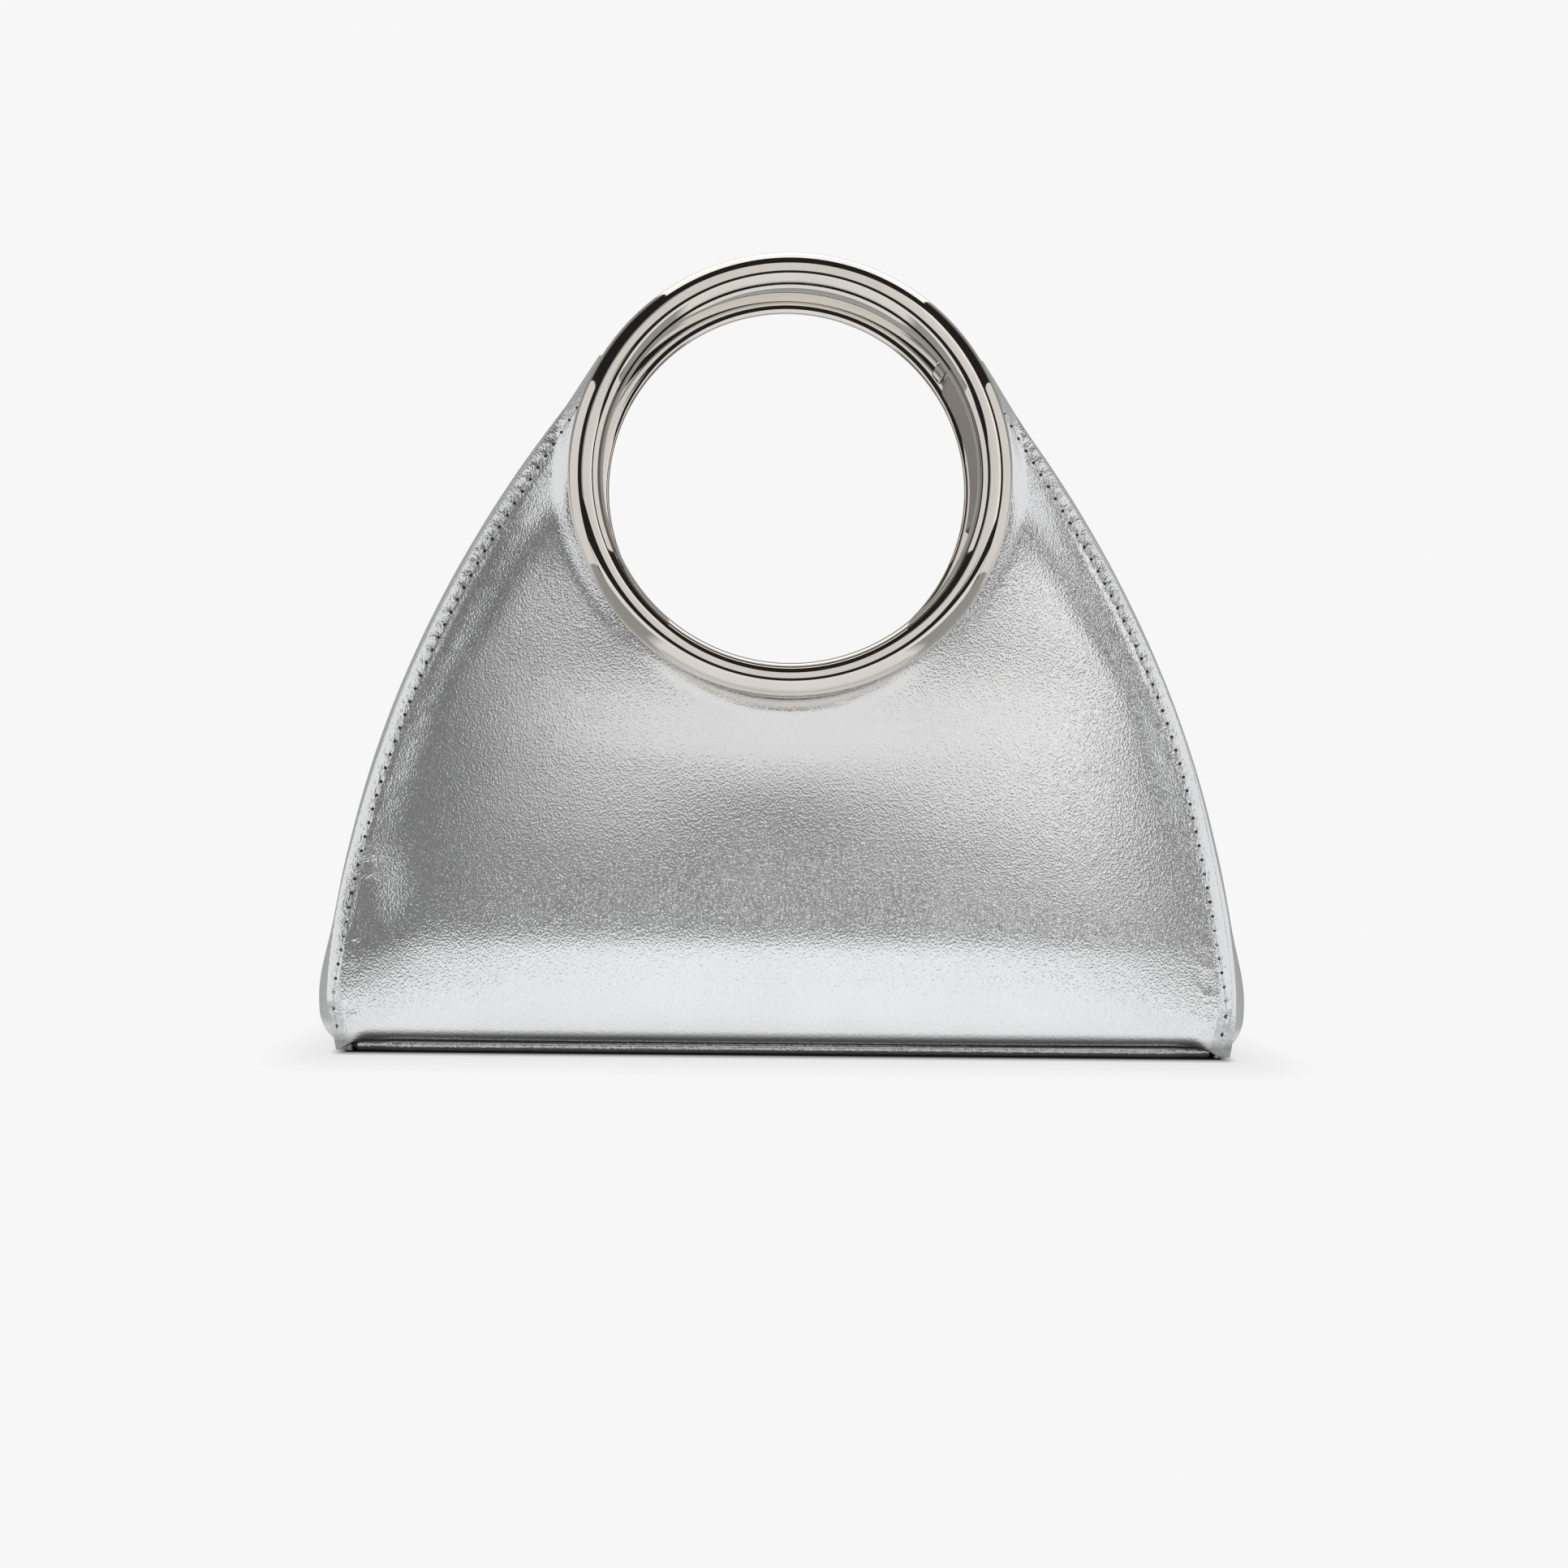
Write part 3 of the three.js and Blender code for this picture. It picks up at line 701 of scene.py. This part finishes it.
# Materials
class Finish:
    """A material with one Principled shader and short ways to add nodes before it."""

    def __init__(self, name):
        self.material = bpy.data.materials.new(name)
        self.material.use_nodes = True
        self.nodes = self.material.node_tree.nodes
        self.links = self.material.node_tree.links
        self.shader = self.nodes["Principled BSDF"]

    def feed(self, socket, value):
        """Links a socket to another one, or sets it to a plain value."""
        if isinstance(value, bpy.types.NodeSocket):
            self.links.new(value, socket)
        else:
            socket.default_value = value

    def set(self, node, **inputs):
        """Feeds the inputs of a node, named with _ for a space."""
        for name, value in inputs.items():
            self.feed(node.inputs[name.replace("_", " ")], value)

    def position(self):
        """Place on the object."""
        return self.nodes.new("ShaderNodeTexCoord").outputs["Object"]

    def place(self, stretch=(1, 1, 1), turn=0.0):
        """Place on the object, turned about Y and stretched."""
        node = self.nodes.new("ShaderNodeMapping")
        self.set(node, Vector=self.position(), Rotation=(0, math.radians(turn), 0), Scale=stretch)
        return node.outputs["Vector"]

    def coordinate(self, vector, axis):
        """One coordinate of a vector."""
        node = self.nodes.new("ShaderNodeSeparateXYZ")
        self.set(node, Vector=vector)
        return node.outputs[axis]

    def share(self, name):
        """Share stored with the points of a piece, 0 where there is none."""
        node = self.nodes.new("ShaderNodeAttribute")
        node.attribute_name = name
        return node.outputs["Fac"]

    def noise(self, place, size_mm, detail=2.0):
        node = self.nodes.new("ShaderNodeTexNoise")
        self.set(node, Vector=place, Scale=1 / (size_mm * MM), Detail=detail)
        return node.outputs["Fac"]

    def cells(self, place, size_mm):
        node = self.nodes.new("ShaderNodeTexVoronoi")
        self.set(node, Vector=place, Scale=1 / (size_mm * MM))
        return node.outputs["Distance"]

    def spread(self, value, low, high, start=0.3, end=0.7):
        """Maps a value from the range between start and end to the one between low and high."""
        node = self.nodes.new("ShaderNodeMapRange")
        self.set(node, Value=value, From_Min=start, From_Max=end, To_Min=low, To_Max=high)
        return node.outputs["Result"]

    def combine(self, operation, first, second):
        """Sum, product or the like of two values."""
        node = self.nodes.new("ShaderNodeMath")
        node.operation = operation
        for socket, value in zip(node.inputs, (first, second)):
            self.feed(socket, value)
        return node.outputs["Value"]

    def vector(self, operation, *values):
        """Vector, or length, worked out from one or two vectors."""
        node = self.nodes.new("ShaderNodeVectorMath")
        node.operation = operation
        for socket, value in zip(node.inputs, values):
            self.feed(socket, value)
        return node.outputs["Value" if operation == "LENGTH" else "Vector"]

    def blend(self, value, first, second):
        """Colour between two colours."""
        node = self.nodes.new("ShaderNodeMix")
        node.data_type = "RGBA"
        self.set(node, Factor=value)
        for socket, tint in zip([s for s in node.inputs if s.type == "RGBA"], (first, second)):
            socket.default_value = (*tint, 1)
        return [socket for socket in node.outputs if socket.type == "RGBA"][0]

    def shaded_foot(self, colour, shade, low_mm, high_mm):
        """Colour with a painted shade that darkens it towards the floor, from a high level to a low one.
        """
        height = self.coordinate(self.position(), "Z")
        return self.vector("MULTIPLY", colour, self.spread(height, shade, 1, low_mm * MM, high_mm * MM))

    def raise_surface(self, height, depth_mm):
        node = self.nodes.new("ShaderNodeBump")
        self.set(node, Height=height, Distance=depth_mm * MM, Strength=1.0)
        self.set(self.shader, Normal=node.outputs["Normal"])


# Silver leather: sizes and depth of its grain in millimetres, weights of its layers, colours from
# dark to light, ranges of roughness, and the painted shade that darkens it at the foot
STROKE_SIZE, STROKE_STRETCH, STROKE_TURN = 0.45, (1, 1, 0.7), 38
PEBBLE_SIZE, CRINKLE_SIZE, MOTTLE_SIZE = 0.6, 1.5, 24
GRAIN_DEPTH = 0.077
STROKE_WEIGHT, PEBBLE_WEIGHT, CRINKLE_WEIGHT, MOTTLE_WEIGHT = 0.9, 0.6, 3, 0.4
STRETCHED_GRAIN = 0.4
SILVER_DARK, SILVER_LIGHT = (0.855, 0.86, 0.875), (0.945, 0.95, 0.96)
SILVER_GRAIN_RANGE = (0.4, 1.2)
SILVER_ROUGHNESS, STROKE_ROUGHNESS = (0.14, 0.17), (-0.02, 0.03)
SILVER_METAL = 0.7
FOOT_SHADE_LOW, FOOT_SHADE_HIGH = 2.6, 5.4
PANEL_SHADE, BASE_SHADE = 0.4, 0.62


def silver_leather(name, foot_shade):
    """Metallic leather with a fine grain, smoother where it is stretched, crinkled seams and a painted
    shade at its foot.
    """
    finish = Finish(name)
    strokes = finish.noise(finish.place(STROKE_STRETCH, STROKE_TURN), STROKE_SIZE, detail=1)
    pebbles = finish.cells(finish.place(), PEBBLE_SIZE)
    crinkles = finish.noise(finish.place(), CRINKLE_SIZE)
    mottle = finish.noise(finish.place(), MOTTLE_SIZE)
    stroke_height = finish.combine("MULTIPLY", strokes, STROKE_WEIGHT)
    pebble_height = finish.combine("MULTIPLY", pebbles, PEBBLE_WEIGHT)
    grain = finish.combine("ADD", stroke_height, pebble_height)
    smoother = finish.spread(finish.share("stretched"), 1, STRETCHED_GRAIN, 0, 1)
    crinkle_weight = finish.combine("MULTIPLY", finish.share("crinkled"), CRINKLE_WEIGHT)
    crinkle_height = finish.combine("MULTIPLY", crinkles, crinkle_weight)
    relief = finish.combine("ADD", finish.combine("MULTIPLY", grain, smoother), crinkle_height)
    finish.raise_surface(relief, GRAIN_DEPTH)
    mottled = finish.combine("MULTIPLY", finish.spread(mottle, 0, 1), MOTTLE_WEIGHT)
    lightness = finish.spread(finish.combine("ADD", mottled, grain), 0, 1, *SILVER_GRAIN_RANGE)
    tint = finish.blend(lightness, SILVER_DARK, SILVER_LIGHT)
    # Painted shade: the leather is darker over its lowest few millimetres, near the floor.
    tint = finish.shaded_foot(tint, foot_shade, FOOT_SHADE_LOW, FOOT_SHADE_HIGH)
    rough = finish.spread(mottle, *SILVER_ROUGHNESS)
    rough = finish.combine("ADD", rough, finish.spread(strokes, *STROKE_ROUGHNESS))
    finish.set(finish.shader, Base_Color=tint, Roughness=rough, Metallic=SILVER_METAL)
    return finish.material


def polished_metal():
    """Warm bright metal with a little haze and fine scratches from front to back."""
    finish = Finish("polished_metal")
    haze = finish.noise(finish.place(), size_mm=14, detail=3)
    scratches = finish.noise(finish.place(stretch=(1, 0.2, 1)), size_mm=0.6)
    rough = finish.combine("ADD", finish.spread(haze, 0.02, 0.04), finish.spread(scratches, 0, 0.015))
    tint = finish.blend(finish.spread(haze, 0, 1), (0.7, 0.665, 0.615), (0.74, 0.705, 0.655))
    finish.set(finish.shader, Base_Color=tint, Roughness=rough, Metallic=1.0)
    return finish.material


def taupe_lining():
    """Matte woven lining."""
    finish = Finish("taupe_lining")
    weft = finish.noise(finish.place(stretch=(1, 0.25, 1)), size_mm=0.35, detail=1)
    warp = finish.noise(finish.place(stretch=(0.3, 1, 0.3)), size_mm=0.35, detail=1)
    weave = finish.combine("MAXIMUM", weft, warp)
    tint = finish.blend(finish.spread(weave, 0, 1), (0.33, 0.28, 0.24), (0.46, 0.41, 0.36))
    finish.raise_surface(weave, depth_mm=0.12)
    finish.set(finish.shader, Base_Color=tint, Roughness=0.85, Sheen_Weight=0.25)
    return finish.material


def dark_cut_edge():
    """Dark grey on the cut edges of the leather, darker than its face."""
    finish = Finish("dark_cut_edge")
    mottle = finish.noise(finish.place(), size_mm=1.2, detail=3)
    tint = finish.blend(finish.spread(mottle, 0, 1), (0.2, 0.2, 0.21), (0.3, 0.3, 0.31))
    finish.raise_surface(mottle, depth_mm=0.1)
    finish.set(finish.shader, Base_Color=tint, Roughness=0.45, Metallic=0.6)
    return finish.material


def thread_fibre():
    """Silver thread with a slanting twist."""
    finish = Finish("thread_fibre")
    twist = finish.noise(finish.place(stretch=(1, 1, 0.6), turn=45), size_mm=0.25, detail=1)
    tint = finish.blend(finish.spread(twist, 0, 1), (0.66, 0.66, 0.67), (0.84, 0.84, 0.85))
    finish.raise_surface(twist, depth_mm=0.05)
    finish.set(finish.shader, Base_Color=tint, Roughness=0.4, Metallic=0.6)
    return finish.material


def hole_shadow():
    """Painted shadow: near black inside the needle holes."""
    finish = Finish("hole_shadow")
    mottle = finish.noise(finish.place(), size_mm=0.4)
    tint = finish.blend(finish.spread(mottle, 0, 1), (0.012, 0.012, 0.013), (0.05, 0.05, 0.052))
    finish.set(finish.shader, Base_Color=tint, Roughness=0.7)
    return finish.material


# Studio: planes of the front, side and top lights, of which the first two end the floor, brightness
# of the backdrop, and tint of the front lights
FRONT_PLANE, SIDE_PLANE, TOP_PLANE = -0.3, 0.42, 0.407
PALE = 0.93
WARM = (1, 0.985, 0.97)

# Floor: its rear end, half lengths of the painted shadow under the bag, distances from it over
# which the floor grows pale, how it dims beside the bag where the leather mirrors it, and its colours
FLOOR_REAR = 0.65
FLOOR_CORE = (0.117, 0.032)
FLOOR_SIDE_FADE = 2.5
FLOOR_DARK, FLOOR_EDGE, FLOOR_FAR = 0.0015, 0.012, 0.06
FLOOR_EDGE_GLOW = 0.8
FLOOR_SIDE = (0.125, 0.15)
FLOOR_SIDE_GLOW = 0.4
FLOOR_SHADOW, FLOOR_LIGHT = (0.03, 0.03, 0.03), (0.9, 0.9, 0.9)
FLOOR_MOTTLE, FLOOR_MOTTLE_MM = 0.94, 60

# World as the bag mirrors it: brightness in front and behind, and where one becomes the other
WORLD_FRONT, WORLD_BEHIND = 0.02, 0.36
WORLD_TURN = (0.2, 0.6)


def floor_paint():
    """Painted shadow under the bag, pale around it and as bright as the backdrop further out."""
    finish = Finish("studio_floor")
    place = finish.position()
    aside = finish.vector("ABSOLUTE", place)
    outside = finish.vector("SUBTRACT", aside, (*FLOOR_CORE, 0))
    outside = finish.vector("MAXIMUM", outside, (0, 0, 0))
    distance = finish.vector("LENGTH", finish.vector("MULTIPLY", outside, (FLOOR_SIDE_FADE, 1, 0)))
    near = finish.spread(distance, 0, FLOOR_EDGE_GLOW, FLOOR_DARK, FLOOR_EDGE)
    far = finish.spread(distance, 0, 1 - FLOOR_EDGE_GLOW, FLOOR_EDGE, FLOOR_FAR)
    mottle = finish.spread(finish.noise(place, FLOOR_MOTTLE_MM), FLOOR_MOTTLE, 1)
    # Painted shadow: the floor's colour darkens towards the bag's foot.
    tint = finish.blend(finish.combine("MULTIPLY", near, mottle), FLOOR_SHADOW, FLOOR_LIGHT)
    finish.set(finish.shader, Base_Color=tint, Roughness=0.9, Specular_IOR_Level=0.0)
    seen = finish.nodes.new("ShaderNodeLightPath").outputs["Is Camera Ray"]
    mirrored = finish.spread(finish.coordinate(aside, "X"), 1, FLOOR_SIDE_GLOW, *FLOOR_SIDE)
    glow = finish.nodes.new("ShaderNodeEmission")
    finish.set(glow, Color=(PALE, PALE, PALE, 1), Strength=finish.combine("MAXIMUM", seen, mirrored))
    mix = finish.nodes.new("ShaderNodeMixShader")
    finish.set(mix, Fac=finish.combine("ADD", near, far))
    finish.links.new(finish.shader.outputs["BSDF"], mix.inputs[1])
    finish.links.new(glow.outputs["Emission"], mix.inputs[2])
    finish.set(finish.nodes["Material Output"], Surface=mix.outputs["Shader"])
    return finish.material


def add_floor():
    """Pale floor that shows the bag's cast shadow and a painted shadow under it, and fades into the
    backdrop.
    """
    mesh = bpy.data.meshes.new("studio_floor")
    front = [(-SIDE_PLANE, FRONT_PLANE, 0), (SIDE_PLANE, FRONT_PLANE, 0)]
    rear = [(SIDE_PLANE, FLOOR_REAR, 0), (-SIDE_PLANE, FLOOR_REAR, 0)]
    mesh.from_pydata(front + rear, [], [(0, 1, 2, 3)])
    mesh.materials.append(floor_paint())
    floor = bpy.data.objects.new("studio_floor", mesh)
    bpy.context.scene.collection.objects.link(floor)


def soft_panel(name, centre, size, aim, brightness, tint=(1, 1, 1)):
    """Flat soft light of an even brightness, which the camera itself doesn't see."""
    light = bpy.data.lights.new(name, "AREA")
    light.shape = "RECTANGLE"
    light.size, light.size_y = size
    light.energy = math.pi * size[0] * size[1] * brightness
    light.color = tint
    panel = bpy.data.objects.new(name, light)
    panel.location = centre
    panel.rotation_euler = Vector(aim).to_track_quat("-Z", "Y").to_euler()
    panel.visible_camera = False
    bpy.context.scene.collection.objects.link(panel)


def add_lights():
    """Panels in front, at the sides and overhead, with dark gaps between them."""
    backwards, left, right, down = (0, 1, 0), (-1, 0, 0), (1, 0, 0), (0, 0, -1)
    soft_panel("front_left", (-0.146, FRONT_PLANE, 0.309), (0.042, 0.282), backwards, 0.35, WARM)
    soft_panel("front_middle", (-0.0325, FRONT_PLANE, 0.309), (0.185, 0.282), backwards, 0.82, WARM)
    soft_panel("front_right", (0.105, FRONT_PLANE, 0.299), (0.09, 0.302), backwards, 0.86, WARM)
    soft_panel("front_far_right", (0.188, FRONT_PLANE, 0.299), (0.076, 0.302), backwards, 1.1, WARM)
    soft_panel("low_front", (0, FRONT_PLANE, 0.0425), (0.65, 0.085), backwards, 0.95)
    soft_panel("left_panel", (-SIDE_PLANE, -0.115, 0.2), (0.51, 0.4), right, 0.85)
    soft_panel("right_panel", (SIDE_PLANE, -0.115, 0.2), (0.51, 0.4), left, 0.85)
    soft_panel("overhead", (0.01, 0.115, TOP_PLANE), (0.33, 0.34), down, 1.3)


def add_world():
    """White to the camera, dark in front of the bag and light behind it for the reflections."""
    world = bpy.data.worlds.new("studio_world")
    world.use_nodes = True
    bpy.context.scene.world = world
    nodes, links = world.node_tree.nodes, world.node_tree.links
    background = nodes["Background"]
    direction = nodes.new("ShaderNodeSeparateXYZ")
    links.new(nodes.new("ShaderNodeTexCoord").outputs["Generated"], direction.inputs["Vector"])
    behind = nodes.new("ShaderNodeMapRange")
    behind.interpolation_type = "SMOOTHSTEP"
    links.new(direction.outputs["Y"], behind.inputs["Value"])
    start, end = WORLD_TURN
    levels = {"From Min": start, "From Max": end, "To Min": WORLD_FRONT, "To Max": WORLD_BEHIND}
    for name, level in levels.items():
        behind.inputs[name].default_value = level
    seen = nodes.new("ShaderNodeLightPath").outputs["Is Camera Ray"]
    mix = nodes.new("ShaderNodeMix")
    links.new(seen, mix.inputs["Factor"])
    links.new(behind.outputs["Result"], mix.inputs["A"])
    mix.inputs["B"].default_value = PALE
    links.new(mix.outputs["Result"], background.inputs["Color"])


# Camera
IMAGE_SIZE = 1932
FOCAL_PIXELS = 3440
SENSOR_MM = 36
CAMERA_DISTANCE = 0.783
CAMERA_AZIMUTH = -1.3
CAMERA_ROLL = 0.65
CAMERA_AIM = (-0.00035, 0, 0.0729)


def add_camera():
    data = bpy.data.cameras.new("camera")
    data.sensor_width = SENSOR_MM
    data.lens = FOCAL_PIXELS / IMAGE_SIZE * SENSOR_MM
    camera = bpy.data.objects.new("camera", data)
    yaw = math.radians(CAMERA_AZIMUTH)
    turn = Matrix.Rotation(yaw, 4, "Z") @ Matrix.Rotation(math.pi / 2, 4, "X")
    turn = turn @ Matrix.Rotation(math.radians(CAMERA_ROLL), 4, "Z")
    back = Vector((math.sin(yaw), -math.cos(yaw), 0)) * CAMERA_DISTANCE
    camera.matrix_world = Matrix.Translation(Vector(CAMERA_AIM) + back) @ turn
    bpy.context.scene.collection.objects.link(camera)
    bpy.context.scene.camera = camera


# Assembly
silver = silver_leather("silver_leather", PANEL_SHADE)
lining = taupe_lining()
leather = [silver, lining, dark_cut_edge()]
# Painted shade: the base gets its own copy of the silver leather, whose painted shade at the foot is
# lighter than the panels'.
base_leather = silver_leather("base_leather", BASE_SHADE)
metal = polished_metal()
add_panel("front_panel_leather", FRONT, leather, "front_panel")
add_panel("back_panel_leather", BACK, leather, "back_panel")
add_gusset("gusset_left_leather", -1, leather, "gusset_left")
add_gusset("gusset_right_leather", 1, leather, "gusset_right")
add_base("base_leather", base_leather, "base")
add_rings(metal)
add_facing("facing_left_lining", -1, FACING_LEFT_RADIUS, lining, "facing_left")
add_facing("facing_right_lining", 1, FACING_RIGHT_RADIUS, lining, "facing_right")
add_catch("ring_catch_polished", metal, "ring_catch")
add_stitches(thread_fibre(), hole_shadow())

add_floor()
add_lights()
add_world()
add_camera()
bpy.context.scene.view_settings.view_transform = "Standard"
